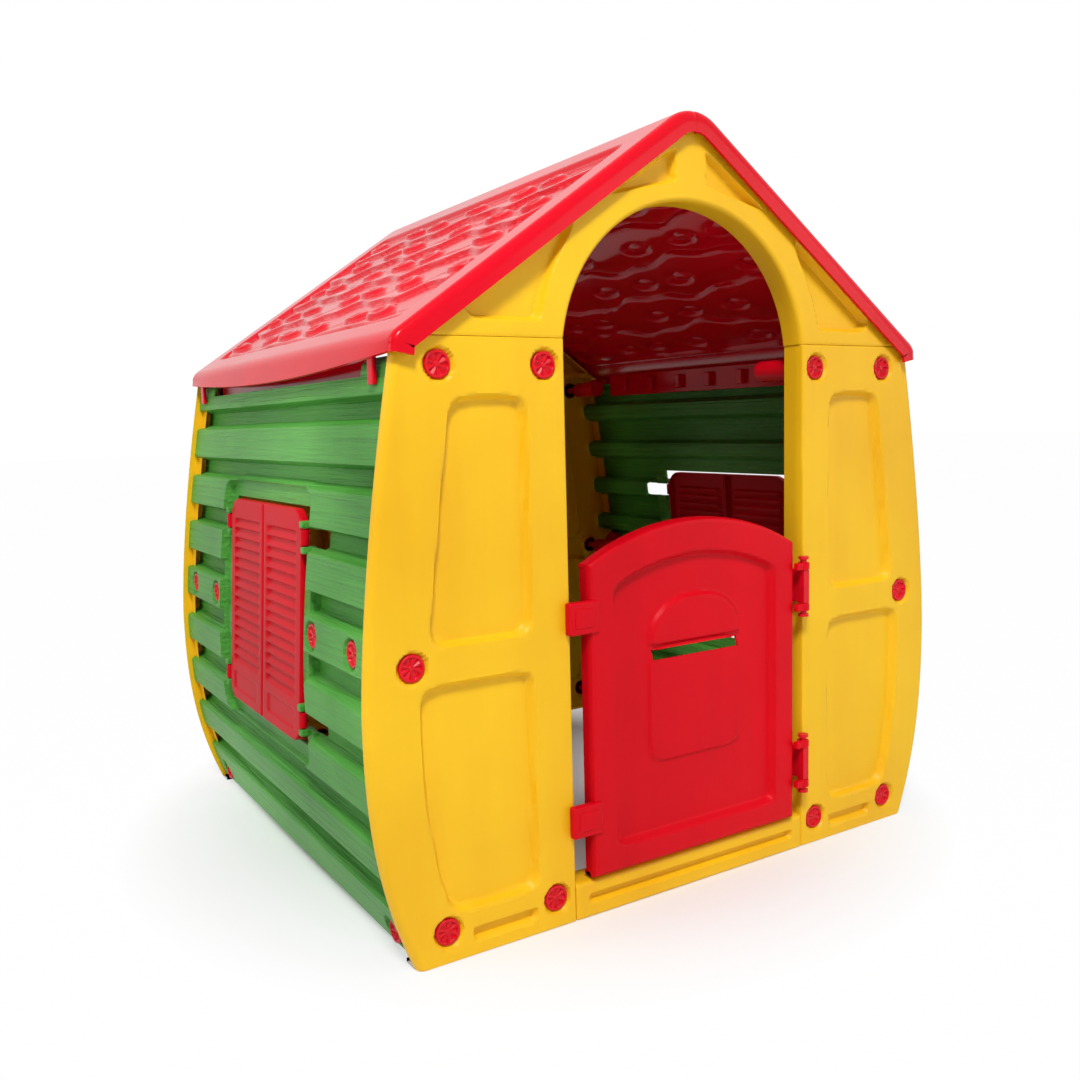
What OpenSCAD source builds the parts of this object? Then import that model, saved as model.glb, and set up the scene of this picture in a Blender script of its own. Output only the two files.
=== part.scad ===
// Moulded plastic playhouse: two yellow gable ends, two green plank walls with
// shuttered windows, a two-piece red roof and a half-height red door.
// Millimetres. The front looks towards -Y, +Z is up, and the origin is the middle of
// the footprint on the floor. Pieces on the +X side are drawn and mirrored.

/* [House] */
// Depth over the front and back panels
house_d = 906; // [820:1:1000]
// Width where the walls bulge most
bulge_w = 1015; // [940:1:1120]
// Height of the four corner panels, where the gables begin
joint_z = 784; // [740:1:830]
// Height at which the two roof planes would meet
roof_apex_z = 1105; // [1090:1:1140]
// Rise of the roof for each unit of run
roof_pitch = 0.70; // [0.62:0.01:0.78]

/* [Shells] */
// Wall thickness of the yellow panels, gables and sills
skin = 5; // [3:0.5:7]
// Depth of the rim that turns back round each yellow panel
rim_d = 38; // [30:1:50]
// Depth of the pressed-in panels
pocket_d = 9; // [4:0.5:14]
// Running gap between neighbouring pieces
gap = 0.3; // [0.2:0.05:0.6]

/* [Doorway] */
// Clear width between the corner panels
doorway_w = 429; // [390:1:450]
// Height of the top of the arch
arch_top_z = 972; // [950:1:985]
// Height of the threshold sill
sill_h = 52; // [40:1:65]

/* [Door] */
// Width of the door leaf
door_w = 378; // [340:1:392]
// Height of the door leaf at the middle of its arch
door_h = 482; // [420:1:560]
// Gap between the sill and the door
door_lift = 5; // [3:0.5:20]
// Thickness of the door leaf
door_t = 22; // [18:1:26]
// Rise of the arched top edge
door_rise = 50; // [30:1:70]
// Radius of the hinge rods
rod_r = 5; // [4:0.25:6]
// Height of each hinge
hinge_h = 84; // [70:1:100]
// Height of the letter slot
letter_slot_h = 15; // [12:1:22]

/* [Side walls] */
// Number of planks on each side wall
planks = 9; // [9:1:9]
// Plank spacing
plank_pitch = 86; // [80:1:92]
// Height of the channel between planks
channel_h = 24; // [18:1:30]
// Depth of the channels
channel_d = 22; // [16:1:26]
// Wall thickness of the green sheets
sheet = 5; // [4:0.5:6]
// How far the planks stand inside the yellow edge
wall_inset = 8; // [6:1:12]

/* [Windows] */
// Width of the window opening
window_w = 356; // [330:1:370]
// Height of the window opening
window_h = 350; // [330:1:362]
// Width of the sunk strip round the window
strip_w = 34; // [30:1:40]
// Depth of that strip below the planks
strip_d = 13; // [11:1:15]
// Thickness of a shutter
shutter_t = 11; // [9:0.5:12]
// Radius of the shutter pins
pin_r = 2.5; // [2:0.1:3]
// Slats in each shutter
slats = 15; // [11:1:17]

/* [Roof] */
// How far the roof lips stand in front of the gables
lip_proud = 12; // [8:1:18]
// Half width of the roof at the eaves
eave_x = 458; // [445:1:475]
// Height of the eave band
eave_h = 36; // [28:1:46]
// Thickness of the raised roof border
border_t = 12; // [10:1:14]
// Depth of the sunk roof field
field_d = 7; // [5:0.5:8]

/* [Fasteners] */
// Radius of the screw shanks
shank_r = 7; // [6:0.25:8]
// Radius of the screw heads
head_r = 17.3; // [16:0.1:18]
// Radius of the sunk seats round the heads
seat_r = 20; // [18.5:0.5:21]
// Depth of those seats
seat_d = 8; // [7:0.5:8]
// Length of the long nuts
nut_l = 74; // [50:1:90]

/* [Hidden] */
$fn = 48;

YELLOW = [0.98, 0.78, 0.10];
GREEN = [0.27, 0.60, 0.20];
RED = [0.86, 0.04, 0.14];

front_y = -house_d / 2;
rim_y = front_y + rim_d;             // back edge of a front rim
doorway_x = doorway_w / 2;
bulge_z = 0.41 * joint_z;            // height of the widest point
foot_in = 56;                        // how far the foot tucks in below the bulge
head_in = 57.5;                      // how far the top leans in above the bulge
arch_r = doorway_x;
arch_z = arch_top_z - arch_r;        // centre of the doorway arch
edge_steps = 26;                     // straight steps along a curved panel edge

roof_a = atan(roof_pitch);
ridge_r = 64;                        // rounding of the ridge
ridge_z = roof_apex_z - ridge_r / cos(roof_a);
roof_y = -front_y + lip_proud;       // half length of the roof
border_v = border_t / cos(roof_a);   // border thickness measured upright
lip_h = 26;                          // upright height of the lip on the gable face
gable_top_z = roof_apex_z - border_v - gap / cos(roof_a);

// Half width of the house at height z: tucked in at the foot, leaning in at the top
function half_w(z) = bulge_w / 2 - (z < bulge_z
    ? foot_in * pow((bulge_z - z) / bulge_z, 2.5)
    : head_in * pow((z - bulge_z) / (joint_z - bulge_z), 1.5));

// Heights of plank i, counted from the floor
function plank_top(i) = (i + 1) * plank_pitch - (i == planks - 1 ? 12 : 1);
function plank_low(i) = i == 0 ? 2 : i * plank_pitch - 1 + channel_h;
wall_top_z = plank_top(planks - 1);
seam_z = (plank_top(4) + plank_low(4)) / 2; // the two halves of a wall meet here
notch_low_z = plank_top(2) + channel_h / 2;   // hinge notches, in two channels
notch_high_z = plank_top(5) + channel_h / 2;

// The tilted straight line that the shutter pins lie on
pin_inset = wall_inset + 6;
pin_y = window_w / 2 + 6;
pin_low = [half_w(notch_low_z) - pin_inset, notch_low_z];
pin_high = [half_w(notch_high_z) - pin_inset, notch_high_z];
pin_tilt = atan2(pin_low[0] - pin_high[0], pin_high[1] - pin_low[1]);
pin_span = norm(pin_high - pin_low);
notch_h = channel_h + 4;
lug_r = 6.5;
shutter_edge = 10;                   // hinge line to the edge of the leaf
shutter_w = pin_y - shutter_edge - 1;
shutter_h = window_h - 14;

// Screws: [x, z] on a panel, then [y, z] on a wall
outer_top = [half_w(750) - 60, 750];
inner_top = [doorway_x + 30, 750];
outer_mid = [half_w(386) - 61, 386];
outer_low = [half_w(41) - 61, 41];
inner_low = [doorway_x + 31, 41];
panel_screws = [outer_top, inner_top, outer_mid, outer_low, inner_low];
seam_screws = [for (y = [pin_y + 56, -rim_y - 33], side = [-1, 1]) [side * y, seam_z]];
foot_screws = [for (side = [-1, 1]) [side * (-rim_y - 30), 30]];
wall_screws = concat(seam_screws, foot_screws);
boss_r = 12;
tab_t = 5;                           // tabs that the panel screws pass through
tab_y = rim_y + gap;                 // front face of those tabs
tab_lap = 8;                         // how far a tab's root reaches into the rim
wall_end = -rim_y - gap;             // half length of a green wall
hole_r = shank_r + gap;
nut_r = 16.5;
wall_nut_r = 20;
wall_nut_l = 16;
nut_cap = 4;                         // closed end of a nut
wall_boss_d = 18;                    // depth of the bosses behind a plank

// Door
hinge_x = doorway_x - 11;
door_y = front_y - 9;                // front face of the leaf
hinge_y = door_y - 4;
door_x1 = hinge_x - 15;              // edge of the leaf at the hinges
door_x0 = door_x1 - door_w;
door_z0 = sill_h + door_lift;
door_z1 = door_z0 + door_h;
door_mid = (door_x0 + door_x1) / 2;
door_arc_r = (pow(door_w / 2, 2) + pow(door_rise, 2)) / (2 * door_rise);
door_frame = 38;                     // plain border of the leaf
door_field_d = 8;
letter_w = 165;
letter_z = door_z0 + 294;             // middle of the letter slot
hinge_low_z = door_z0 + 44;
hinge_high_z = door_z0 + 321;
catch_w = 50;
catch_h = 45;

// Corner points of a polygon rounded to arcs; grow moves the whole outline outwards
function unit(v) = v / norm(v);
function corner(a, p, b, r, grow, n = 5) =
    let (u = unit(a - p), v = unit(b - p),
         half = acos(max(-1, min(1, u * v))) / 2,
         c = p + unit(u + v) * r / sin(half),
         t0 = atan2((p + u * r / tan(half) - c)[1], (p + u * r / tan(half) - c)[0]),
         t1 = atan2((p + v * r / tan(half) - c)[1], (p + v * r / tan(half) - c)[0]),
         turn = (t1 - t0) > 180 ? t1 - t0 - 360 : (t1 - t0) < -180 ? t1 - t0 + 360 : t1 - t0)
    [for (k = [0:n]) c + (r + grow) * [cos(t0 + turn * k / n), sin(t0 + turn * k / n)]];
function rounded(pts, r, grow = 0) =
    let (m = len(pts))
    [for (i = [0:m - 1]) each corner(pts[(i + m - 1) % m], pts[i], pts[(i + 1) % m], r, grow)];
function box_pts(x0, z0, x1, z1) = [[x0, z0], [x1, z0], [x1, z1], [x0, z1]];

// Outlines drawn on the X-Z plane become slabs between two Y values
module slab(y0, y1) {
    translate([0, y1, 0]) rotate([90, 0, 0]) linear_extrude(y1 - y0) children();
}

// Outlines drawn on the Y-Z plane become slabs between two X values
module side_slab(x0, x1) {
    translate([x0, 0, 0]) rotate([90, 0, 90]) linear_extrude(x1 - x0) children();
}

module rod_y(x, z, r, y0, y1) {
    translate([x, y1, z]) rotate([90, 0, 0]) cylinder(r = r, h = y1 - y0);
}

module rod_x(y, z, r, x0, x1) {
    translate([x0, y, z]) rotate([0, 90, 0]) cylinder(r = r, h = x1 - x0);
}

module mirror_copy(axis) {
    children();
    mirror(axis) children();
}

// ---- Corner panels -----------------------------------------------------------

// Outline of a corner panel, drawn in by the given margin
function edge_pts(margin) =
    [for (k = [0:edge_steps])
        let (z = margin + (joint_z - 2 * margin) * k / edge_steps)
        [half_w(z) - margin, z]];
function panel_pts(margin) = concat(
    [[doorway_x + margin, margin]], edge_pts(margin), [[doorway_x + margin, joint_z - margin]]);

// The three pressed-in fields of a corner panel
upper_pocket = [[doorway_x + 57, 405], [doorway_x + 57, 714],
                [half_w(714) - 80, 714], [half_w(405) - 80, 405]];
lower_pocket = concat(
    [[doorway_x + 57, 62], [doorway_x + 57, 361], [half_w(361) - 72, 361]],
    [[half_w(220) - 71, 220], [half_w(110) - 70, 110], [half_w(62) - 76, 62]]);
slot_pocket = box_pts(doorway_x + 62, 19, doorway_x + 159, 39);

module panel_pocket(pts, r) {
    difference() {
        slab(front_y, front_y + pocket_d + skin) polygon(rounded(pts, r, skin));
        slab(front_y - 1, front_y + pocket_d) polygon(rounded(pts, r));
    }
}

module panel_openings() {
    slab(front_y - 1, front_y + pocket_d) polygon(rounded(upper_pocket, 24));
    slab(front_y - 1, front_y + pocket_d) polygon(rounded(lower_pocket, 18));
    slab(front_y - 1, front_y + pocket_d) polygon(rounded(slot_pocket, 5));
    for (s = panel_screws) {
        rod_y(s[0], s[1], seat_r, front_y - 1, front_y + seat_d);
        rod_y(s[0], s[1], hole_r, front_y, rim_y + 1);
    }
}

// A corner panel of the +X front corner
module corner_panel() {
    difference() {
        union() {
            slab(front_y, front_y + skin) polygon(panel_pts(0));
            difference() {
                slab(front_y, rim_y) polygon(panel_pts(0));
                slab(front_y - 1, rim_y + 1) polygon(panel_pts(skin));
            }
            panel_pocket(upper_pocket, 24);
            panel_pocket(lower_pocket, 18);
            panel_pocket(slot_pocket, 5);
            for (s = panel_screws) {
                rod_y(s[0], s[1], seat_r + skin, front_y, front_y + seat_d + skin);
                rod_y(s[0], s[1], boss_r, front_y, rim_y);
            }
            foot_tab();
        }
        panel_openings();
        rod_x(-foot_screws[1][0], foot_screws[1][1], hole_r, foot_tab_x - 1, foot_tab_x + tab_t + 1);
        slab(front_y - 1, rim_y + 1) above_under_roof();
    }
}

// Everything above the underside of the roof
module above_under_roof() {
    polygon([[0, under_roof(0)], [0, under_roof(0) + 300], [bulge_w, under_roof(0) + 300],
             [bulge_w, under_roof(bulge_w)]]);
}

// The tab that runs back from a corner panel behind the foot of the green wall
foot_tab_x = half_w(foot_screws[0][1]) - wall_inset - wall_boss_d - gap - tab_t;
module foot_tab(grow = 0) {
    translate([foot_tab_x - grow, front_y + skin - grow, 8 - grow])
        cube([tab_t + 2 * grow, rim_d + 47 + 2 * grow, 44 + 2 * grow]);
}

module front_left_panel() {
    color(YELLOW) mirror([1, 0, 0]) corner_panel();
}

module front_right_panel() {
    color(YELLOW) difference() {
        corner_panel();
        for (z = [hinge_low_z, hinge_high_z]) hinge_foot_hole(z);
    }
}

module back_left_panel() {
    color(YELLOW) mirror([1, 0, 0]) mirror([0, 1, 0]) corner_panel();
}

module back_right_panel() {
    color(YELLOW) mirror([0, 1, 0]) corner_panel();
}

// ---- Gables ------------------------------------------------------------------

function under_roof(x) = gable_top_z - roof_pitch * x;
gable_x = (gable_top_z - joint_z - gap) / roof_pitch;

module gable_outline(margin) {
    slope = margin / cos(roof_a);
    difference() {
        polygon([[-gable_x + slope * 1.9, joint_z + gap + margin],
                 [gable_x - slope * 1.9, joint_z + gap + margin],
                 [ridge_r / 2, under_roof(ridge_r / 2) - slope],
                 [-ridge_r / 2, under_roof(ridge_r / 2) - slope]]);
        translate([0, arch_z]) circle(r = arch_r + margin, $fn = 96);
        translate([-arch_r - margin, joint_z - 60])
            square([2 * (arch_r + margin), 60]);
    }
}

gable_low_pocket = [[194, 940], [362, 822], [346, 804], [230, 804]];
gable_high_pocket = [[26, 1045], [146, 967], [26, 995]];

module gable_low_outline(grow) {
    difference() {
        polygon(rounded(gable_low_pocket, 9, grow));
        translate([0, arch_z]) circle(r = arch_r + 38 - grow, $fn = 96);
    }
}

module gable_high_outline(grow) {
    polygon(rounded(gable_high_pocket, 7, grow));
}

module gable() {
    difference() {
        union() {
            slab(front_y, front_y + skin) gable_outline(0);
            difference() {
                slab(front_y, rim_y) gable_outline(0);
                slab(front_y - 1, rim_y + 1) gable_outline(skin);
            }
            mirror_copy([1, 0, 0]) slab(front_y, front_y + pocket_d + skin) {
                gable_low_outline(skin);
                gable_high_outline(skin);
            }
            mirror_copy([1, 0, 0]) gable_tab();
        }
        mirror_copy([1, 0, 0]) slab(front_y - 1, front_y + pocket_d) {
            gable_low_outline(0);
            gable_high_outline(0);
        }
        mirror_copy([1, 0, 0]) rod_y(inner_top[0], inner_top[1], hole_r, tab_y - 1, tab_y + tab_t + 1);
    }
}

// Tongue that drops behind a corner panel to its inner top screw
module gable_tab() {
    translate([doorway_x + 8, tab_y, inner_top[1] - 20]) cube([44, tab_t, joint_z - inner_top[1] + 20 + skin]);
    translate([doorway_x + 8, rim_y - 8, joint_z + gap]) cube([44, 8 + gap + tab_t, skin]);
}

module front_gable() {
    color(YELLOW) gable();
}

module back_gable() {
    color(YELLOW) mirror([0, 1, 0]) gable();
}

// ---- Sills -------------------------------------------------------------------

module sill() {
    sx = doorway_x - gap;
    slot = box_pts(-sx + 20, 19, sx - 20, 33);
    difference() {
        union() {
            difference() {
                slab(front_y, rim_y) polygon(box_pts(-sx, 0, sx, sill_h));
                slab(front_y + skin, rim_y + 1) polygon(box_pts(-sx + skin, skin, sx - skin, sill_h - skin));
            }
            slab(front_y, front_y + pocket_d + skin) polygon(rounded(slot, 4, skin));
            mirror_copy([1, 0, 0]) sill_tab();
        }
        slab(front_y - 1, front_y + pocket_d) polygon(rounded(slot, 4));
        mirror_copy([1, 0, 0]) rod_y(inner_low[0], inner_low[1], hole_r, tab_y - 1, tab_y + tab_t + 1);
    }
}

// Tongue that reaches behind a corner panel to its inner bottom screw
module sill_tab() {
    translate([doorway_x - 30, rim_y - tab_lap, 8]) cube([30 - gap - 1, tab_lap + gap + tab_t, 40]);
    translate([doorway_x - 30, tab_y, 22]) cube([30 + 52, tab_t, 38]);
}

module front_sill() {
    color(YELLOW) sill();
}

module back_sill() {
    color(YELLOW) mirror([0, 1, 0]) sill();
}

// ---- Green walls -------------------------------------------------------------

// One plank's corners from its lower channel to its upper one, moved in by d
function plank_chain(i, d) =
    let (z0 = plank_low(i), z1 = plank_top(i), low = 7, high = 5,
         floor0 = half_w(z0) - wall_inset - channel_d,
         floor1 = half_w(z1) - wall_inset - channel_d)
    [[floor0 - d, z0 + d],
     [half_w(z0) - wall_inset - low - d, z0 + d],
     [half_w(z0 + low) - wall_inset - d, z0 + low + d],
     for (k = [1:3]) let (z = z0 + low + (z1 - z0 - low - high) * k / 4) [half_w(z) - wall_inset - d, z],
     [half_w(z1 - high) - wall_inset - d, z1 - high - d],
     [half_w(z1) - wall_inset - high - d, z1 - d],
     [floor1 - d, z1 - d]];
function wall_chain(d) = [for (i = [0:planks - 1]) each plank_chain(i, d)];
function flip(pts) = [for (i = [len(pts) - 1:-1:0]) pts[i]];

// A band that follows the side of the house, between two insets
function band_pts(d0, d1, z0, z1) = concat(
    [for (k = [0:18]) let (z = z0 + (z1 - z0) * k / 18) [half_w(z) - d0, z]],
    [for (k = [18:-1:0]) let (z = z0 + (z1 - z0) * k / 18) [half_w(z) - d1, z]]);
module band(d0, d1, z0, z1, y0, y1) {
    slab(y0, y1) polygon(band_pts(d0, d1, z0, z1));
}

window_z0 = seam_z - window_h / 2;
window_z1 = seam_z + window_h / 2;
module window_outline(grow) {
    polygon(rounded(box_pts(-window_w / 2, window_z0, window_w / 2, window_z1), 18, grow));
}

// The whole green wall of the +X side, before it is split at the seam
module wall() {
    difference() {
        union() {
            slab(-wall_end, wall_end) polygon(concat(wall_chain(0), flip(wall_chain(sheet))));
            window_strip();
            for (s = wall_screws) wall_boss(s);
            for (i = [1:planks - 1]) channel_ribs(i);
            mirror_copy([0, 1, 0]) wall_ears();
        }
        side_slab(0, bulge_w) window_outline(0);
        window_sink();
        mirror_copy([0, 1, 0]) for (z = [notch_low_z, notch_high_z]) hinge_notch(z);
        for (s = wall_screws) wall_seat(s);
        translate([0, -top_notch_y, wall_top_z - 22]) cube([bulge_w, 2 * top_notch_y, 40]);
        mirror_copy([0, 1, 0]) foot_tab(gap);
        mirror_copy([0, 1, 0]) for (s = [outer_top, outer_mid, outer_low])
            rod_y(s[0], s[1], hole_r, -wall_end - 1, -wall_end + tab_t + 1);
    }
    difference() {
        mirror_copy([0, 1, 0]) for (z = [notch_low_z, notch_high_z]) wall_lugs(z);
        mirror_copy([0, 1, 0]) pin_bores();
    }
}
top_notch_y = 345;

// Sunk strip round the window
module window_strip() {
    inset = wall_inset + strip_d;
    intersection() {
        band(inset, inset + 9, window_z0 - 40, window_z1 + 30, -wall_end, wall_end);
        side_slab(0, bulge_w) window_outline(strip_w);
    }
    difference() {
        intersection() {
            band(wall_inset, inset + 9, window_z0 - 30, window_z1 + 25, -wall_end, wall_end);
            side_slab(0, bulge_w) window_outline(strip_w + sheet);
        }
        side_slab(0, bulge_w) window_outline(strip_w);
    }
}

// Everything that stands in front of the strip is cleared
module window_sink() {
    intersection() {
        band(-10, wall_inset + strip_d, window_z0 - 40, window_z1 + 40, -wall_end, wall_end);
        side_slab(0, bulge_w) window_outline(strip_w);
    }
}

// Through notch beside the window where a shutter's hinge block sits
module hinge_notch(z) {
    translate([0, window_w / 2 - 20, z - notch_h / 2]) cube([bulge_w, 82, notch_h]);
}

// The two lugs above and below a notch that hold a shutter pin
module wall_lugs(z) {
    for (side = [-1, 1]) pin_frame(z) {
        dz = side * (notch_h / 2 + 5);
        translate([0, 0, dz - 5]) cylinder(r = lug_r, h = 10);
        translate([-15, -lug_r, dz - 5]) cube([15, 2 * lug_r, 10]);
    }
}

// Places its children on the pin line at height z, with local Z along the pins
module pin_frame(z) {
    x = pin_low[0] + (pin_high[0] - pin_low[0]) * (z - pin_low[1]) / (pin_high[1] - pin_low[1]);
    translate([x, pin_y, z]) rotate([0, -pin_tilt, 0]) children();
}

module pin_bores() {
    for (z = [notch_low_z, notch_high_z]) pin_frame(z) {
        translate([0, 0, -notch_h / 2 - 12]) cylinder(r = pin_r + gap, h = notch_h + 24);
    }
}

// Boss behind a plank for a wall screw, cut by the seam where it lies on it
module wall_boss(s) {
    x = half_w(s[1]) - wall_inset;
    rod_x(s[0], s[1], seat_r + skin, x - wall_boss_d, x - 2);
}

module wall_seat(s) {
    x = half_w(s[1]) - wall_inset;
    rod_x(s[0], s[1], seat_r, x - seat_d, x + 20);
    rod_x(s[0], s[1], hole_r, x - 60, x + 1);
}

// Upright ribs that stiffen the channel above plank i - 1
rib_ys = [for (k = [-4:4]) k * 95];
module channel_ribs(i) {
    z0 = plank_top(i - 1);
    z1 = plank_low(i);
    x = half_w((z0 + z1) / 2) - wall_inset - channel_d;
    for (y = rib_ys) if (abs(y) > window_w / 2 + strip_w + 30 || z1 < window_z0 - 40 || z0 > window_z1 + 20)
        translate([x - 2, y - 1.5, z0 - 3]) cube([5, 3, z1 - z0 + 6]);
}

// Ears at the front end of the wall, one for each outer screw of the corner panel
module wall_ears() {
    intersection() {
        for (s = [outer_top, outer_mid, outer_low]) {
            z1 = s == outer_mid ? seam_z - 1 : s[1] + 18;
            translate([s[0] - 18, -wall_end, s[1] - 18]) cube([120, tab_t, z1 - s[1] + 18]);
        }
        band(wall_inset + 1, 200, 0, joint_z, -wall_end, wall_end);
    }
}

module above_seam() {
    translate([0, -house_d, seam_z + gap / 2]) cube([bulge_w, 2 * house_d, joint_z]);
}

module below_seam() {
    translate([0, -house_d, -10]) cube([bulge_w, 2 * house_d, seam_z - gap / 2 + 10]);
}

module wall_upper() {
    intersection() {
        wall();
        above_seam();
    }
}

module wall_lower() {
    intersection() {
        wall();
        below_seam();
    }
}

module left_wall_upper() {
    color(GREEN) mirror([1, 0, 0]) wall_upper();
}

module left_wall_lower() {
    color(GREEN) mirror([1, 0, 0]) wall_lower();
}

module right_wall_upper() {
    color(GREEN) wall_upper();
}

module right_wall_lower() {
    color(GREEN) wall_lower();
}

// ---- Roof --------------------------------------------------------------------

function roof_z(x) = roof_apex_z - roof_pitch * x;
// Cross-section of the +X roof half: rounded ridge, flat plane and a near upright eave band
function roof_chain(d) = concat(
    [for (k = [0:6]) let (a = roof_a * k / 6) [(ridge_r - d) * sin(a), ridge_z + (ridge_r - d) * cos(a)]],
    [[eave_x - d * tan(roof_a / 2), roof_z(eave_x) - d * 0.9],
     [eave_x + 7 - d, roof_z(eave_x) - eave_h]]);
module roof_section(d) {
    polygon(concat([for (p = roof_chain(0)) [max(p[0], gap / 2), p[1]]],
                   flip([for (p = roof_chain(d)) [max(p[0], gap / 2), p[1]]])));
}

// Places its children on the roof plane: X runs down the slope, Z points out of it
module on_slope() {
    translate([0, 0, roof_apex_z]) rotate([0, roof_a, 0]) children();
}

slope_l = eave_x / cos(roof_a);
field_u0 = 70;
field_u1 = slope_l - 42;
field_y = roof_y - 56;
// Bow of the eave band: deepest in the middle, shallower at the corners
eave_bow = 16;
bow_r = (pow(roof_y, 2) + pow(eave_bow, 2)) / (2 * eave_bow);

module roof_half() {
    difference() {
        union() {
            intersection() {
                slab(-roof_y, roof_y) roof_section(border_t);
                bow_limit();
            }
            mirror_copy([0, 1, 0]) roof_lip();
            roof_flange();
            mirror_copy([0, 1, 0]) roof_hook();
        }
        on_slope() translate([field_u0, -field_y, -field_d]) cube([field_u1 - field_u0, 2 * field_y, 30]);
        mirror_copy([0, 1, 0]) band(-gap, 60, joint_z - 80, joint_z, front_y - gap, rim_y + gap);
    }
    for (row = [0:3]) shingle_row(row);
}

module bow_limit() {
    side_slab(-1, bulge_w) intersection() {
        translate([-roof_y, 0]) square([2 * roof_y, 2000]);
        translate([0, roof_z(eave_x) - eave_h + bow_r]) circle(r = bow_r, $fn = 360);
    }
}

// Lip that drops over the face of the front gable
module roof_lip() {
    inner = border_t / 2;
    intersection() {
        slab(-roof_y, front_y - gap)
            polygon(concat([for (p = roof_chain(inner)) [max(p[0], gap / 2), p[1]]],
                           [[eave_x - 24, roof_z(eave_x - 24) - lip_h],
                            [gap / 2, roof_z(0) - lip_h - 10]]));
        bow_limit();
    }
}

// Inner flange that drops behind the top plank, seen through its cut-out
flange_x = half_w(wall_top_z) - wall_inset - sheet - 5;
module roof_flange() {
    slab(-top_notch_y + 8, top_notch_y - 8)
        polygon([[flange_x - 4, wall_top_z - 28], [flange_x, wall_top_z - 28],
                 [flange_x, roof_z(flange_x) - border_v / 2], [flange_x - 4, roof_z(flange_x) - border_v / 2]]);
}

// Small hook at each end of the eave, hanging outside the top plank
module roof_hook() {
    hook_x = half_w(wall_top_z - 34) - wall_inset + gap;
    slab(-404, -386)
        polygon([[hook_x, wall_top_z - 34], [hook_x + 5, wall_top_z - 24],
                 [eave_x - 2, roof_z(eave_x) - 4], [hook_x, roof_z(eave_x) - 6]]);
}

// Low ribs across the sunk field, like courses of shingles
module shingle_row(row) {
    u = field_u0 + (field_u1 - field_u0) * (row + 0.75) / 4.5;
    on_slope() translate([u, field_y - 10, -field_d - 1.5]) rotate([90, 0, 0])
        cylinder(r = 5, h = 2 * field_y - 20);
}

module right_roof() {
    color(RED) roof_half();
}

module left_roof() {
    color(RED) mirror([1, 0, 0]) roof_half();
}

// ---- Door --------------------------------------------------------------------

// Door outline with an arched top, drawn in by the given margins
module door_outline(side, top, low) {
    intersection() {
        polygon(box_pts(door_x0 + side, door_z0 + low, door_x1 - side, door_z1));
        translate([door_mid, door_z1 - door_arc_r]) circle(r = door_arc_r - top, $fn = 180);
    }
}

module letter_dome(grow) {
    dome_r = 84;
    intersection() {
        translate([door_mid, letter_z - 2]) circle(r = dome_r + grow, $fn = 96);
        polygon(box_pts(door_mid - letter_w / 2 - grow, letter_z + 16 - grow,
                        door_mid + letter_w / 2 + grow, letter_z + 200));
    }
}

module letter_plate(grow) {
    polygon(rounded(box_pts(door_mid - letter_w / 2, door_z0 + 142,
                            door_mid + letter_w / 2, letter_z + 12), 6, grow));
}

module letter_slot() {
    polygon(rounded(box_pts(door_mid - letter_w / 2 + 3, letter_z - letter_slot_h / 2,
                            door_mid + letter_w / 2 - 3, letter_z + letter_slot_h / 2), 3));
}

module door() {
    f = door_frame;
    color(RED) difference() {
        union() {
            slab(door_y, door_y + skin) difference() {
                door_outline(0, 0, 0);
                door_outline(f, f + 8, f - 4);
            }
            slab(door_y, door_y + door_t) difference() {
                door_outline(0, 0, 0);
                door_outline(skin, skin, skin);
            }
            slab(door_y, door_y + door_field_d + skin) difference() {
                door_outline(f - skin, f + 8 - skin, f - 4 - skin);
                door_outline(f, f + 8, f - 4);
            }
            slab(door_y + door_field_d, door_y + door_field_d + skin) door_outline(f, f + 8, f - 4);
            slab(door_y + 2, door_y + door_field_d + 1) letter_dome(0);
            slab(door_y + 4, door_y + door_field_d + 1) letter_plate(0);
            for (z = [hinge_high_z + hinge_h / 2 - catch_h / 2, hinge_low_z + hinge_h / 2 - catch_h / 2])
                door_catch(z);
            for (z = [hinge_low_z, hinge_high_z]) door_knuckles(z);
        }
        slab(door_y - 10, door_y + door_t + 10) letter_slot();
        for (z = [hinge_low_z, hinge_high_z])
            translate([hinge_x, hinge_y, z - 10]) cylinder(r = rod_r + gap, h = hinge_h + 20);
    }
}

// Catch plate that laps over the corner panel and stops the door
module door_catch(z) {
    slab(door_y - 4, front_y - gap)
        polygon(rounded(box_pts(door_x0 - catch_w + 15, z, door_x0 + 15, z + catch_h), 5));
}

// Two rings near the ends of a hinge rod, joined to the edge of the leaf
knuckle_h = 11;
module door_knuckles(z) {
    for (dz = [5, hinge_h - 5 - knuckle_h]) translate([hinge_x, hinge_y, z + dz]) {
        cylinder(r = rod_r + 4, h = knuckle_h);
        translate([-19, -rod_r - 2, 0]) cube([14, rod_r + 9, knuckle_h]);
    }
}

// A hinge rod on its bar, clipped to the edge of the doorway
module hinge_bar(z) {
    mid0 = z + 5 + knuckle_h + 1;
    mid_h = hinge_h - 2 * (6 + knuckle_h);
    translate([hinge_x, hinge_y, z]) cylinder(r = rod_r, h = hinge_h);
    translate([hinge_x - 5, hinge_y - rod_r - 1, mid0]) cube([11, rod_r + 4, mid_h]);
    translate([hinge_x - 3, hinge_y, mid0]) cube([9, front_y + rim_d - 4 - hinge_y, mid_h]);
    for (dz = [-4, hinge_h]) translate([hinge_x, hinge_y, z + dz]) cylinder(r = rod_r + 3, h = 4);
    hinge_foot(z, 0);
}

// Peg that snaps from the bar into the doorway edge of the panel
module hinge_foot(z, grow) {
    translate([hinge_x + 3, front_y + rim_d / 2, z + hinge_h / 2]) rotate([0, 90, 0])
        cylinder(r = 5 + grow, h = 16);
}

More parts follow.
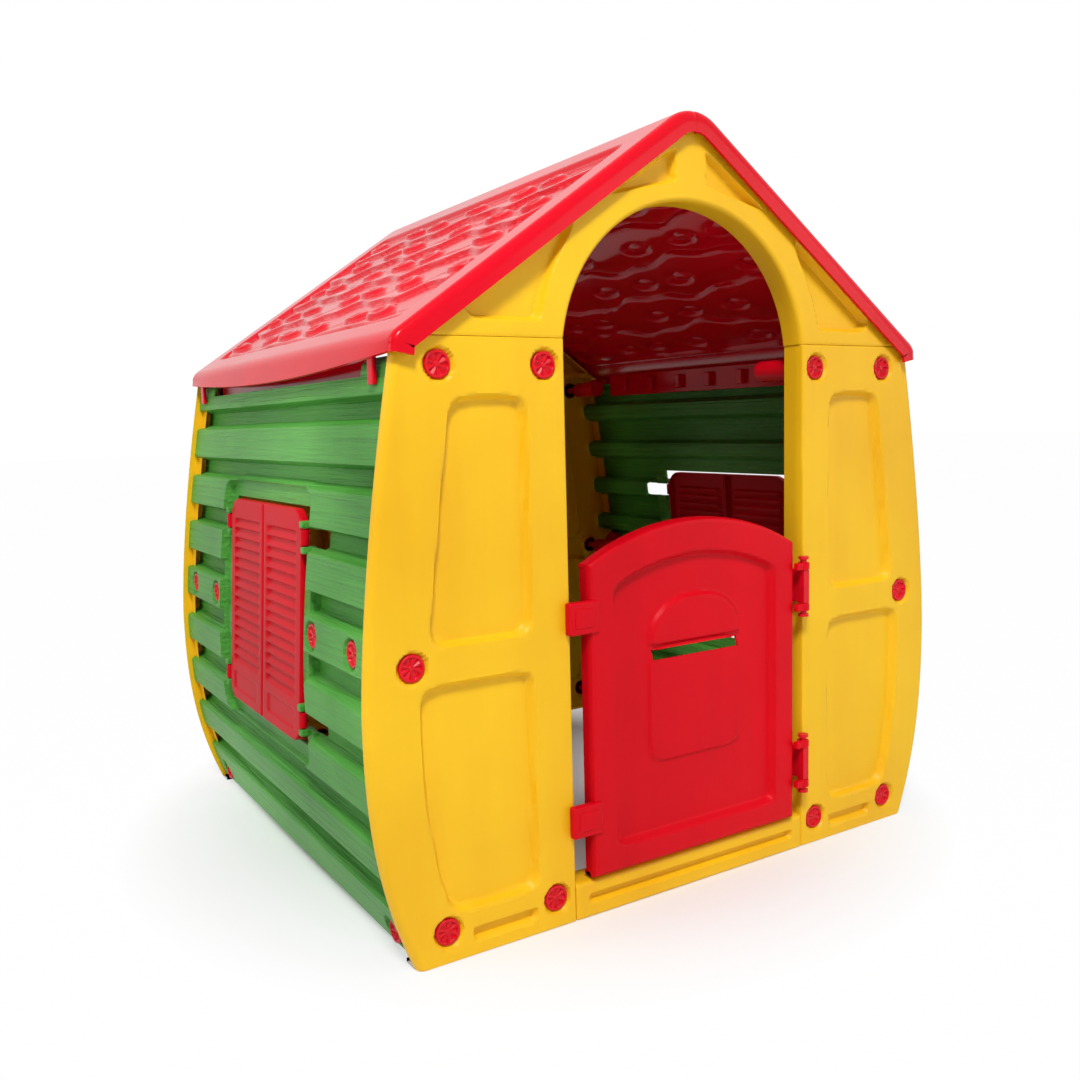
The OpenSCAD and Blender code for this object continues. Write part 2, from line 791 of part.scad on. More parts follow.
module hinge_foot_hole(z) {
    hinge_foot(z, 0.1);
}

module door_hinge_upper() {
    color(RED) hinge_bar(hinge_high_z);
}

module door_hinge_lower() {
    color(RED) hinge_bar(hinge_low_z);
}

// ---- Shutters ----------------------------------------------------------------

// One leaf of the +X wall, hinged on its +Y edge. In its own frame X points out of the
// wall, Y runs along it with the hinge line at 0, and Z follows the pins.
module leaf_outline(margin) {
    z0 = -shutter_h / 2 + margin;
    y1 = -shutter_edge - margin;
    y0 = y1 - shutter_w + 2 * margin;
    difference() {
        polygon(box_pts(y0, z0, y1, -z0));
        for (side = [-1, 1]) translate([y1, side * -z0]) corner_cut(side, 34 - margin);
    }
}

module corner_cut(side, r) {
    difference() {
        translate([-r, side > 0 ? -r : 0]) square([r + 1, r + (side > 0 ? 1 : 0)]);
        translate([-r, -side * r]) circle(r = r, $fn = 64);
    }
}

slat_z1 = shutter_h / 2 - 34;
slat_z0 = -shutter_h / 2 + 62;
slat_step = (slat_z1 - slat_z0) / slats;
module shutter_leaf() {
    x1 = 2;
    x0 = x1 - shutter_t;
    difference() {
        side_slab(x0, x1) leaf_outline(0);
        side_slab(x0 - 1, x1 - 6) leaf_outline(3);
        for (k = [0:slats - 1]) translate([x1, 0, slat_z0 + slat_step * (k + 0.45)])
            slat_groove();
        side_slab(x1 - 1.5, x1 + 1) label_field(0);
    }
}

module slat_groove() {
    translate([0, -shutter_edge - shutter_w + 30, 0]) rotate([-90, 0, 0])
        cylinder(r = 3.2, h = shutter_w - 52, $fn = 24);
}

// Sunk field in the plain foot of the leaf
module label_field(grow) {
    polygon(rounded(box_pts(-shutter_edge - shutter_w + 30, -shutter_h / 2 + 18,
                            -shutter_edge - 22, -shutter_h / 2 + 50), 6, grow));
}

// Hinge block inside a notch, with a pin that stands out above and below it
module shutter_hinge(dz) {
    block_h = notch_h - 6;
    translate([0, 0, dz - block_h / 2]) cylinder(r = lug_r - 0.5, h = block_h);
    translate([-4, -shutter_edge - 2, dz - block_h / 2]) cube([5.5, shutter_edge + 2, block_h]);
    translate([0, 0, dz - notch_h / 2 - 8]) cylinder(r = pin_r, h = notch_h + 16);
}

module shutter() {
    pin_frame((notch_low_z + notch_high_z) / 2) {
        shutter_leaf();
        for (side = [-1, 1]) shutter_hinge(side * pin_span / 2);
    }
}

module right_back_shutter() {
    color(RED) shutter();
}

module right_front_shutter() {
    color(RED) mirror([0, 1, 0]) shutter();
}

module left_back_shutter() {
    color(RED) mirror([1, 0, 0]) shutter();
}

module left_front_shutter() {
    color(RED) mirror([1, 0, 0]) mirror([0, 1, 0]) shutter();
}

// ---- Screws and nuts ---------------------------------------------------------

// A screw along +Z: the head's seat is at 0, and the shank runs on for len
module screw(len) {
    head_t = 6;
    difference() {
        union() {
            translate([0, 0, -head_t]) cylinder(r = head_r, h = head_t);
            cylinder(r = shank_r, h = len);
        }
        for (a = [0:45:135]) rotate([0, 0, a])
            translate([-head_r + 2.5, -1, -head_t - 1]) cube([2 * head_r - 5, 2, 2.6]);
    }
}

// A long closed nut along +Z, open towards the screw
module nut(r, len) {
    difference() {
        cylinder(r = r, h = len);
        translate([0, 0, -1]) cylinder(r = shank_r + 0.1, h = len - nut_cap + 1);
    }
}

// Where the nut of each panel screw begins, behind the tab it clamps
function panel_nut_y(s) = tab_y + tab_t;
module panel_screw_set() {
    mirror_copy([1, 0, 0]) for (s = panel_screws)
        translate([s[0], front_y + seat_d, s[1]]) rotate([-90, 0, 0]) screw(rim_d + 30);
}

module panel_nut_set() {
    mirror_copy([1, 0, 0]) for (s = panel_screws)
        translate([s[0], panel_nut_y(s), s[1]]) rotate([-90, 0, 0]) nut(nut_r, nut_l);
}

// A seam screw reaches into its nut; a foot screw ends in the tab of the corner panel
function wall_screw_l(s) = wall_boss_d - seat_d + (s[1] == seam_z ? wall_nut_l - nut_cap - 1 : gap + tab_t);
module wall_screw_set() {
    for (s = wall_screws) translate([half_w(s[1]) - wall_inset - seat_d, s[0], s[1]])
        rotate([0, -90, 0]) screw(wall_screw_l(s));
}

module wall_nut_set() {
    for (s = seam_screws) translate([half_w(s[1]) - wall_inset - wall_boss_d, s[0], s[1]])
        rotate([0, -90, 0]) nut(wall_nut_r, wall_nut_l);
}

module front_screws() {
    color(RED) panel_screw_set();
}

module back_screws() {
    color(RED) mirror([0, 1, 0]) panel_screw_set();
}

module front_nuts() {
    color(RED) panel_nut_set();
}

module back_nuts() {
    color(RED) mirror([0, 1, 0]) panel_nut_set();
}

module left_wall_screws() {
    color(RED) mirror([1, 0, 0]) wall_screw_set();
}

module right_wall_screws() {
    color(RED) wall_screw_set();
}

module left_wall_nuts() {
    color(RED) mirror([1, 0, 0]) wall_nut_set();
}

module right_wall_nuts() {
    color(RED) wall_nut_set();
}

front_left_panel();
front_right_panel();
back_left_panel();
back_right_panel();
front_gable();
back_gable();
front_sill();
back_sill();
left_wall_upper();
left_wall_lower();
right_wall_upper();
right_wall_lower();
left_roof();
right_roof();
door();
door_hinge_upper();
door_hinge_lower();
left_front_shutter();
left_back_shutter();
right_front_shutter();
right_back_shutter();
front_screws();
back_screws();
left_wall_screws();
right_wall_screws();
front_nuts();
back_nuts();
left_wall_nuts();
right_wall_nuts();
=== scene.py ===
"""Looks of the moulded playhouse: soft-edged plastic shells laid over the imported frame.

Lengths are in millimetres until a mesh is made. Every shell is a fine grid of points
whose depth comes from a smooth function, so pressed-in fields, planks, shingles and
louvres all have the rounded edges of moulded plastic.
"""
import math

import bpy
import numpy as np
from mathutils import Matrix, Vector


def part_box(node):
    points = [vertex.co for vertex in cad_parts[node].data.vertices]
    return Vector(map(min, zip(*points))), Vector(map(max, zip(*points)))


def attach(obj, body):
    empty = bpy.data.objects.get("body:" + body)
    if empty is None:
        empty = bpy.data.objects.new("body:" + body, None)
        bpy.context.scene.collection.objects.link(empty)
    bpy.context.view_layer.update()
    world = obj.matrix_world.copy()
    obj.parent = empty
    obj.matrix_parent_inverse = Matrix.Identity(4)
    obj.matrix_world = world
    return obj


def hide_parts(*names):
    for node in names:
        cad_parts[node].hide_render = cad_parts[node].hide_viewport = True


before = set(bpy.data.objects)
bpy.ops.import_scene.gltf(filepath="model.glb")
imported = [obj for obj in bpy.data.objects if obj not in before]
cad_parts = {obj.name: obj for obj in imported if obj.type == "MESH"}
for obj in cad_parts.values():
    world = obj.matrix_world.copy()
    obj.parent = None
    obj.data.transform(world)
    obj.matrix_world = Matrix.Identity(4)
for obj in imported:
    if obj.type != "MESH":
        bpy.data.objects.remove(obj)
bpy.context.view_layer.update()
MM = 0.001


def box_mm(node):
    low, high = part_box(node)
    return np.array(low) / MM, np.array(high) / MM


# ---- Sizes that the CAD fixes --------------------------------------------------

panel_low, panel_high = box_mm("front_right_panel")
roof_high = box_mm("right_roof")[1]
wall_low = box_mm("right_wall_upper")[0]
FRONT_Y = panel_low[1]
JOINT_Z = panel_high[2]
BULGE_HALF = panel_high[0]
DOORWAY_X = panel_low[0]
RIM_D = 38.0
BULGE_Z = 0.41 * JOINT_Z
FOOT_IN, HEAD_IN = 56.0, 57.5
ARCH_R = DOORWAY_X
ARCH_TOP_Z = JOINT_Z + 188.0
ARCH_Z = ARCH_TOP_Z - ARCH_R
ROOF_APEX_Z = JOINT_Z + 321.0
ROOF_PITCH = 0.70
ROOF_A = math.atan(ROOF_PITCH)
RIDGE_R = 64.0
RIDGE_Z = ROOF_APEX_Z - RIDGE_R / math.cos(ROOF_A)
UNDER_ROOF_Z = ROOF_APEX_Z - 15.0
ROOF_Y = roof_high[1]
EAVE_X = roof_high[0] - 7.0
EAVE_H = 36.0
PLANK_PITCH = 86.0
PLANKS = 9
CHANNEL_H = 24.0
CHANNEL_D = 22.0
WALL_INSET = 8.0
SEAM_Z = wall_low[2]
WINDOW_Y, WINDOW_H = 177.0, 342.0
HEAD_R, SEAT_R, SEAT_D = 17.3, 20.0, 8.0
SHEET = 5.0
GAP = 0.3                        # between pieces that meet
SHARP_DEG = 38.0                 # edges that bend more than this are drawn sharp
ROUND_STEPS = 3                  # steps round the edge of a block
PANEL_SCREWS = [(394.6, 750.0), (244.5, 750.0), (443.9, 386.0), (408.5, 41.0), (245.5, 41.0)]
WALL_SCREWS = [(s * y, SEAM_Z) for s in (-1, 1) for y in (240.0, 382.0)]
WALL_SCREWS += [(s * 385.0, 30.0) for s in (-1, 1)]


def half_w(z):
    """Half width of the house at height z."""
    z = np.asarray(z, float)
    low = np.clip((BULGE_Z - z) / BULGE_Z, 0, 1) ** 2.5 * FOOT_IN
    high = np.clip((z - BULGE_Z) / (JOINT_Z - BULGE_Z), 0, 1.1) ** 1.5 * HEAD_IN
    return BULGE_HALF - low - high


# ---- Smooth shape functions ------------------------------------------------------

def smooth(t):
    t = np.clip(t, 0, 1)
    return t * t * (3 - 2 * t)


def soft_max(distances, radius):
    """Greatest of several distances, with the corners between them rounded."""
    k = 2.2 / radius
    peak = np.max(distances, axis=0)
    return peak + np.log(sum(np.exp(k * (d - peak)) for d in distances)) / k


def polygon_d(x, z, points, radius, extra=()):
    """Signed distance, negative inside, to a convex polygon given anticlockwise."""
    sides = []
    for (ax, az), (bx, bz) in zip(points, points[1:] + points[:1]):
        length = math.hypot(bx - ax, bz - az)
        sides.append(((x - ax) * (bz - az) - (z - az) * (bx - ax)) / length)
    return soft_max(sides + list(extra), radius)


def box_d(x, z, x0, z0, x1, z1, radius):
    return soft_max([x0 - x, x - x1, z0 - z, z - z1], radius)


def sunk(distance, depth, bevel):
    """Depth of a pressed-in field whose wall is bevel wide."""
    return depth * smooth(-distance / bevel)


def edge_drop(distance, radius):
    """How far a quarter-round edge falls away at a distance from the outline."""
    inside = np.clip(radius - distance, 0, radius)
    return radius - np.sqrt(radius ** 2 - inside ** 2)


def seats(x, z, centres):
    depth = np.zeros_like(x)
    for cx, cz in centres:
        r = np.hypot(x - cx, z - cz)
        depth = np.maximum(depth, SEAT_D * smooth((SEAT_R + 1.5 - r) / 3.5))
    return depth


def steps(low, high, step, marks=()):
    """Even steps from low to high that also land on each mark."""
    stops = sorted({low, high, *[m for m in marks if low < m < high]})
    values = [low]
    for a, b in zip(stops, stops[1:]):
        values += list(np.linspace(a, b, max(2, round((b - a) / step) + 1))[1:])
    return np.array(values)


def wrapped(values, rim, far_rim=None):
    """Grid stops across a shell whose rim turns back: (place, inset, back) for each.

    A rim is its own list of (inset, back), from its inner end to the front."""
    low = [(values[0], inset, back) for inset, back in rim]
    high = [(values[-1], -inset, back) for inset, back in reversed(far_rim or rim)]
    return np.array(low + [(v, 0.0, 0.0) for v in values] + high)


def rim_grids(across, up):
    """Place, inset and back of two sets of stops, spread over their grid."""
    place = np.meshgrid(across[:, 0], up[:, 0])
    inset = np.meshgrid(across[:, 1], up[:, 1])
    return place, inset, np.maximum(*np.meshgrid(across[:, 2], up[:, 2]))


# ---- Meshes --------------------------------------------------------------------

def make_mesh(name, points, faces, material, body, slot, nodes):
    """Adds a shell that stands for the given CAD nodes."""
    mesh = bpy.data.meshes.new(name)
    mesh.from_pydata((points * MM).tolist(), [], faces.tolist())
    mesh.polygons.foreach_set("use_smooth", [True] * len(mesh.polygons))
    mesh.set_sharp_from_angle(angle=math.radians(SHARP_DEG))
    mesh.materials.append(material)
    piece = bpy.data.objects.new(name, mesh)
    bpy.context.scene.collection.objects.link(piece)
    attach(piece, body)
    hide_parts(*nodes)


def grid_faces(keep, flip=False, start=0):
    """Quads of a point grid, where keep says which cells exist."""
    rows, cols = keep.shape
    index = start + np.arange((rows + 1) * (cols + 1)).reshape(rows + 1, cols + 1)
    quads = np.stack([index[:-1, :-1], index[:-1, 1:], index[1:, 1:], index[1:, :-1]], -1)[keep]
    return quads[:, ::-1] if flip else quads


def all_cells(rows, cols):
    return np.ones((len(rows) - 1, len(cols) - 1), bool)


def grid_normals(grid):
    du = np.gradient(grid, axis=1)
    dv = np.gradient(grid, axis=0)
    normal = np.cross(du, dv)
    return normal / np.maximum(np.linalg.norm(normal, axis=2, keepdims=True), 1e-9)


def rim_faces(keep, count):
    """Quads that close a sheet between its two faces along every open edge."""
    rows, cols = keep.shape
    index = np.arange((rows + 1) * (cols + 1)).reshape(rows + 1, cols + 1)
    padded = np.pad(keep, 1)
    inner = padded[1:-1, 1:-1]
    found = []
    for open_side, a, b in (
        (inner & ~padded[:-2, 1:-1], index[:-1, :-1], index[:-1, 1:]),
        (inner & ~padded[2:, 1:-1], index[1:, 1:], index[1:, :-1]),
        (inner & ~padded[1:-1, :-2], index[1:, :-1], index[:-1, :-1]),
        (inner & ~padded[1:-1, 2:], index[:-1, 1:], index[1:, 1:]),
    ):
        a, b = a[open_side], b[open_side]
        found.append(np.stack([b, a, a + count, b + count], -1))
    return np.concatenate(found)


def sheet_mesh(grid, keep, thickness):
    """Points and faces of a grid given a thickness on its inner side.

    The grid runs so that columns x rows points out of the plastic."""
    rows, cols = grid.shape[:2]
    count = rows * cols
    outer = grid.reshape(-1, 3)
    inner = (grid - grid_normals(grid) * thickness).reshape(-1, 3)
    faces = np.concatenate([grid_faces(keep), grid_faces(keep, True, count),
                            rim_faces(keep, count)])
    return np.concatenate([outer, inner]), faces


def mirrored(points, faces, sx, sy):
    """The same shape on another side of the house."""
    points = points * np.array([sx, sy, 1.0])
    return points, (faces[:, ::-1] if sx * sy < 0 else faces)


def join(shapes):
    """One shape out of several (points, faces) pairs of quads."""
    points, faces, start = [], [], 0
    for p, f in shapes:
        points.append(p)
        faces.append(f + start)
        start += len(p)
    return np.concatenate(points), np.concatenate(faces)


def block_stops(half, r, arc):
    """Stops along one side of a block: an arc of r at each end and a flat between."""
    return np.unique(np.round(np.concatenate([-half + r - arc, [-half + r, half - r],
                                              half - r + arc]), 6))


def rounded_block(low, high, r):
    """A block with quarter-round edges, as quads."""
    low, high = np.array(low, float), np.array(high, float)
    centre, half = (low + high) / 2, (high - low) / 2
    arc = r * (1 - np.cos(np.linspace(0, math.pi / 2, ROUND_STEPS + 1)))[1:]
    points, faces, start = [], [], 0
    for axis in range(3):
        u, v = (axis + 1) % 3, (axis + 2) % 3
        su, sv = block_stops(half[u], r, arc), block_stops(half[v], r, arc)
        for side in (-1, 1):
            p = np.zeros((len(sv), len(su), 3))
            p[..., u], p[..., v] = np.meshgrid(su, sv)
            p[..., axis] = side * half[axis]
            core = np.clip(p, -(half - r), half - r)
            away = p - core
            away /= np.maximum(np.linalg.norm(away, axis=2, keepdims=True), 1e-9)
            p = core + away * r
            points.append(p.reshape(-1, 3) + centre)
            faces.append(grid_faces(all_cells(sv, su), side < 0, start))
            start += p.shape[0] * p.shape[1]
    return np.concatenate(points), np.concatenate(faces)


def lathe(profile, origin, axis, across, count=32):
    """Quads of a profile of (radius, height, star) turned about an axis."""
    axis, across = np.array(axis, float), np.array(across, float)
    third = np.cross(axis, across)
    turn = np.linspace(0, 2 * math.pi, count, endpoint=False)
    rings = [np.array(origin) + r * (np.cos(turn)[:, None] * across + np.sin(turn)[:, None] * third)
             + (h + star * np.cos(turn * 8))[:, None] * axis for r, h, star in profile]
    points = np.concatenate(rings)
    quads = []
    for k in range(len(profile) - 1):
        a = k * count + np.arange(count)
        b = k * count + (np.arange(count) + 1) % count
        quads.append(np.stack([a, b, b + count, a + count], -1))
    return points, np.concatenate(quads)


# ---- Materials -------------------------------------------------------------------

def plastic(name, light, dark, roughness, streaks, bump, relief=0.002, specular=0.25):
    """Moulded polyethylene: faint colour drift, flow streaks and a fine orange-peel bump."""
    material = bpy.data.materials.new(name)
    material.use_nodes = True
    nodes, links = material.node_tree.nodes, material.node_tree.links
    shader = nodes["Principled BSDF"]
    shader.inputs["IOR"].default_value = 1.5
    shader.inputs["Specular IOR Level"].default_value = specular
    where = nodes.new("ShaderNodeTexCoord")
    stretch = nodes.new("ShaderNodeMapping")
    stretch.inputs["Scale"].default_value = streaks
    links.new(where.outputs["Object"], stretch.inputs["Vector"])

    drift = nodes.new("ShaderNodeTexNoise")
    drift.inputs["Scale"].default_value = 2.2
    drift.inputs["Detail"].default_value = 3.0
    links.new(where.outputs["Object"], drift.inputs["Vector"])
    grain = nodes.new("ShaderNodeTexNoise")
    grain.inputs["Scale"].default_value = 1.0
    grain.inputs["Detail"].default_value = 6.0
    grain.inputs["Roughness"].default_value = 0.6
    links.new(stretch.outputs["Vector"], grain.inputs["Vector"])
    blend = nodes.new("ShaderNodeMath")
    blend.operation = "MULTIPLY_ADD"
    blend.inputs[1].default_value = 0.35
    links.new(grain.outputs["Fac"], blend.inputs[0])
    links.new(drift.outputs["Fac"], blend.inputs[2])
    ramp = nodes.new("ShaderNodeValToRGB")
    ramp.color_ramp.elements[0].position = 0.45
    ramp.color_ramp.elements[0].color = (*dark, 1)
    ramp.color_ramp.elements[1].position = 0.85
    ramp.color_ramp.elements[1].color = (*light, 1)
    links.new(blend.outputs["Value"], ramp.inputs["Fac"])
    links.new(ramp.outputs["Color"], shader.inputs["Base Color"])

    rough = nodes.new("ShaderNodeMapRange")
    rough.inputs["To Min"].default_value = roughness - 0.06
    rough.inputs["To Max"].default_value = roughness + 0.08
    links.new(grain.outputs["Fac"], rough.inputs["Value"])
    links.new(rough.outputs["Result"], shader.inputs["Roughness"])

    peel = nodes.new("ShaderNodeTexNoise")
    peel.inputs["Scale"].default_value = 260.0
    peel.inputs["Detail"].default_value = 2.0
    links.new(where.outputs["Object"], peel.inputs["Vector"])
    fine = nodes.new("ShaderNodeBump")
    fine.inputs["Strength"].default_value = 0.02
    fine.inputs["Distance"].default_value = 0.001
    links.new(peel.outputs["Fac"], fine.inputs["Height"])
    coarse = nodes.new("ShaderNodeBump")
    coarse.inputs["Strength"].default_value = bump
    coarse.inputs["Distance"].default_value = relief
    links.new(grain.outputs["Fac"], coarse.inputs["Height"])
    links.new(fine.outputs["Normal"], coarse.inputs["Normal"])
    links.new(coarse.outputs["Normal"], shader.inputs["Normal"])
    return material


YELLOW = plastic("yellow_plastic", (0.90, 0.54, 0.010), (0.78, 0.41, 0.005), 0.42, (14, 14, 1.2), 0.10)
GREEN = plastic("green_plastic", (0.11, 0.43, 0.06), (0.03, 0.19, 0.012), 0.40, (90, 3.5, 150), 1.0,
                relief=0.006, specular=0.2)
RED_ROOF = plastic("red_roof_plastic", (0.76, 0.0008, 0.014), (0.60, 0.0004, 0.008), 0.16, (5, 5, 5), 0.12,
                   specular=0.13)
RED_DOOR = plastic("red_door_plastic", (0.70, 0.001, 0.010), (0.54, 0.0005, 0.007), 0.42, (18, 18, 2), 0.12,
                   specular=0.12)
RED_SHUTTER = plastic("red_shutter_plastic", (0.64, 0.0008, 0.010), (0.46, 0.0004, 0.006), 0.42,
                      (24, 3, 24), 0.15, specular=0.08)
RED_FITTING = plastic("red_fitting_plastic", (0.72, 0.002, 0.014), (0.52, 0.001, 0.008), 0.34,
                      (40, 40, 40), 0.10)


# ---- Yellow panels, gables and sills ----------------------------------------------

LIP = 5.0
OUTER_RIM_D = 13.0              # the green sheet covers the side rim behind this
PANEL_RIM = [(LIP, RIM_D - 20), (LIP, RIM_D), (0.0, RIM_D), (0.0, RIM_D / 2)]


def panel_depth(x, z):
    inner_x = DOORWAY_X + 57
    upper = polygon_d(x, z, [(inner_x, 405), (float(half_w(405)) - 80, 405),
                             (float(half_w(714)) - 80, 714), (inner_x, 714)], 22)
    side = x - (half_w(z) - 71)
    lower = soft_max([inner_x - x, side, 62 - z, z - 361], 18)
    slot = box_d(x, z, DOORWAY_X + 62, 19, DOORWAY_X + 159, 39, 5)
    depth = sunk(upper, 12, 6.5) + sunk(lower, 12, 6.5) + sunk(slot, 10, 4)
    depth += seats(x, z, PANEL_SCREWS)
    depth += edge_drop(half_w(z) - x, 11) + edge_drop(x - DOORWAY_X, 4)
    return depth + edge_drop(z, 3) + edge_drop(JOINT_Z - z, 2)


def corner_panel():
    under_wall = WALL_INSET + SHEET + 3
    outer_rim = [(under_wall, RIM_D), (under_wall, OUTER_RIM_D), (0.0, OUTER_RIM_D), (0.0, OUTER_RIM_D - 1)]
    across = wrapped(np.concatenate([steps(0, 0.04, 0.006), steps(0.04, 0.95, 0.0135)[1:],
                                     steps(0.95, 1, 0.006)[1:]]), PANEL_RIM, outer_rim)
    up = wrapped(np.concatenate([steps(0, 6, 1.5), steps(6, JOINT_Z - 4, 3.6)[1:],
                                 steps(JOINT_Z - 4, JOINT_Z, 1.0)[1:]]), PANEL_RIM)
    (frac, z), (inset_x, inset_z), back = rim_grids(across, up)
    x = DOORWAY_X + frac * (half_w(z) - DOORWAY_X)
    depth = np.maximum(panel_depth(x, z), back)
    x, z = x + inset_x, z + inset_z
    z = np.minimum(z, UNDER_ROOF_Z - ROOF_PITCH * x)
    grid = np.stack([x, FRONT_Y + depth, z], -1)
    return grid.reshape(-1, 3), grid_faces(all_cells(up, across))


GABLE_LOW = [(230, 804), (346, 804), (362, 822), (194, 940)]
GABLE_HIGH = [(27, 996), (144, 968), (27, 1043)]


def gable_depth(x, z):
    x = np.abs(x)
    from_arch = np.hypot(x, z - ARCH_Z)
    low = polygon_d(x, z, GABLE_LOW, 7, [ARCH_R + 38 - from_arch])
    high = polygon_d(x, z, GABLE_HIGH, 3.5)
    depth = sunk(low, 12, 6) + sunk(high, 11, 5)
    return depth + edge_drop(from_arch - ARCH_R, 7) + edge_drop(z - JOINT_Z, 2)


def gable():
    base_a = math.asin((JOINT_Z + GAP - ARCH_Z) / ARCH_R)
    foot_x = (UNDER_ROOF_Z - JOINT_Z) / ROOF_PITCH
    top_x = RIDGE_R / 2
    top_z = UNDER_ROOF_Z - ROOF_PITCH * top_x
    slope = math.hypot(foot_x - top_x, top_z - JOINT_Z)
    length = slope + top_x

    def inner(f):
        a = base_a + (math.pi / 2 - base_a) * f
        return ARCH_R * np.cos(a), ARCH_Z + ARCH_R * np.sin(a)

    def outer(f):
        run = f * length
        on_slope = np.clip(run / slope, 0, 1)
        x = np.where(run < slope, foot_x + (top_x - foot_x) * on_slope, length - run)
        return x, JOINT_Z + GAP + (top_z - JOINT_Z - GAP) * on_slope

    along = wrapped(steps(-1, 1, 0.0085), PANEL_RIM)
    across = wrapped(np.concatenate([steps(0, 0.06, 0.01), steps(0.06, 1, 0.016)[1:]]), PANEL_RIM)
    (f, s), (inset_f, inset_s), back = rim_grids(along, across)
    fold = np.clip(1 - np.abs(f) + np.abs(inset_f) / 320, 0, 1)
    s = s + inset_s / 150
    ix, iz = inner(fold)
    ox, oz = outer(fold)
    x, z = ix + (ox - ix) * s, iz + (oz - iz) * s
    depth = np.maximum(gable_depth(x, z), back)
    x = x * np.where(f < 0, -1, 1)
    grid = np.stack([x, FRONT_Y + depth, z], -1)
    return grid.reshape(-1, 3), grid_faces(all_cells(across, along))


def sill():
    half = DOORWAY_X - 0.5
    top = 52.0
    across = wrapped(steps(-half, half, 3.5), PANEL_RIM)
    up = wrapped(steps(0.0, top, 1.6), PANEL_RIM)
    (x, z), (inset_x, inset_z), back = rim_grids(across, up)
    depth = sunk(box_d(x, z, -half + 20, 18, half - 20, 34, 4), 9, 5)
    depth += edge_drop(top - z, 6) + edge_drop(z, 3) + edge_drop(half - np.abs(x), 2)
    depth = np.maximum(depth, back)
    grid = np.stack([x + inset_x, FRONT_Y + depth, z + inset_z], -1)
    return grid.reshape(-1, 3), grid_faces(all_cells(up, across))


panel_shape, gable_shape, sill_shape = corner_panel(), gable(), sill()
for side, sy in (("front", 1), ("back", -1)):
    for hand, sx in (("right", 1), ("left", -1)):
        node = f"{side}_{hand}_panel"
        make_mesh(node + "_shell", *mirrored(*panel_shape, sx, sy), YELLOW, "root", "yellow_shell", [node])
    make_mesh(side + "_gable_shell", *mirrored(*gable_shape, 1, sy), YELLOW, "root", "yellow_shell",
              [side + "_gable"])
    make_mesh(side + "_sill_shell", *mirrored(*sill_shape, 1, sy), YELLOW, "root", "yellow_shell",
              [side + "_sill"])


# ---- Green plank walls ---------------------------------------------------------------

WALL_TOP_Z = PLANKS * PLANK_PITCH - 12
NOTCH_ZS = [3 * PLANK_PITCH - 1 + CHANNEL_H / 2, 6 * PLANK_PITCH - 1 + CHANNEL_H / 2]
NOTCH_H, NOTCH_Y = 26.0, 240.0             # the hinge notches beside the window
TOP_NOTCH_H, TOP_NOTCH_Y = 22.0, 345.0     # the long notch under the roof
STRIP_D = 13.0


def channel_share(z):
    """1 at the bottom of a channel, 0 on the face of a plank."""
    share = np.zeros_like(z)
    for i in range(1, PLANKS):
        top = i * PLANK_PITCH - 1
        low = top + CHANNEL_H
        bevel = 14 if i < 5 else 7
        share = np.maximum(share, np.minimum(smooth((z - (top - bevel)) / (bevel + 2)),
                                             smooth((low + 7 - z) / 9)))
    share = np.maximum(share, 0.35 * smooth((8 - z) / 8))
    return np.maximum(share, 0.3 * smooth((z - WALL_TOP_Z + 7) / 7))


def wall_depth(y, z):
    depth = CHANNEL_D * channel_share(z)
    strip = box_d(np.abs(y), z, -400, 200, 212, 597, 34)
    rim = smooth((9 - np.abs(strip + 1)) / 7) * smooth((z - 150) / 60)
    in_strip = smooth((2 - strip) / 5)
    depth = depth * (1 - in_strip) + STRIP_D * in_strip
    depth = np.where(strip > 0, np.minimum(depth, CHANNEL_D - (CHANNEL_D - 7) * rim), depth)
    return depth + seats(y, z, WALL_SCREWS)


def wall_sheet(z0, z1):
    marks = [notch + s * NOTCH_H / 2 for notch in NOTCH_ZS for s in (-1, 1)]
    marks += [SEAM_Z - WINDOW_H / 2, SEAM_Z + WINDOW_H / 2, WALL_TOP_Z - TOP_NOTCH_H]
    zs = steps(z0, z1, 2.6, marks)
    end = -FRONT_Y - OUTER_RIM_D - 0.5
    ys = steps(-end, end, 6.0, [s * v for s in (-1, 1) for v in (WINDOW_Y, NOTCH_Y, TOP_NOTCH_Y)])
    ys = np.unique(np.concatenate([ys] + [np.linspace(s * c - 26, s * c + 26, 19)
                                          for s in (-1, 1) for c in (240.0, 383.0)]))
    y, z = np.meshgrid(ys, zs)
    grid = np.stack([half_w(z) - WALL_INSET - wall_depth(y, z), y, z], -1)
    cy = np.abs((ys[:-1] + ys[1:]) / 2)[None, :]
    cz = ((zs[:-1] + zs[1:]) / 2)[:, None]
    hole = (cy < WINDOW_Y) & (abs(cz - SEAM_Z) < WINDOW_H / 2)
    for notch in NOTCH_ZS:
        hole |= (cy < NOTCH_Y) & (abs(cz - notch) < NOTCH_H / 2)
    hole |= (cy < TOP_NOTCH_Y) & (cz > WALL_TOP_Z - TOP_NOTCH_H)
    return sheet_mesh(grid, ~hole, SHEET)


def shutter_lugs(low_side):
    """The lugs above or below each notch that carry the shutter pins."""
    shapes = []
    for notch in NOTCH_ZS:
        if (notch < SEAM_Z) == low_side:
            for dz in (-NOTCH_H / 2 - 10, NOTCH_H / 2):
                x = float(half_w(notch)) - WALL_INSET - 6
                low, high = (x - 16, 177.5, notch + dz), (x + 6, 190.5, notch + dz + 10)
                shapes.append(rounded_block(low, high, 2.5))
    points, faces = join(shapes)
    other = mirrored(points, faces, 1, -1)
    return join([(points, faces), other])


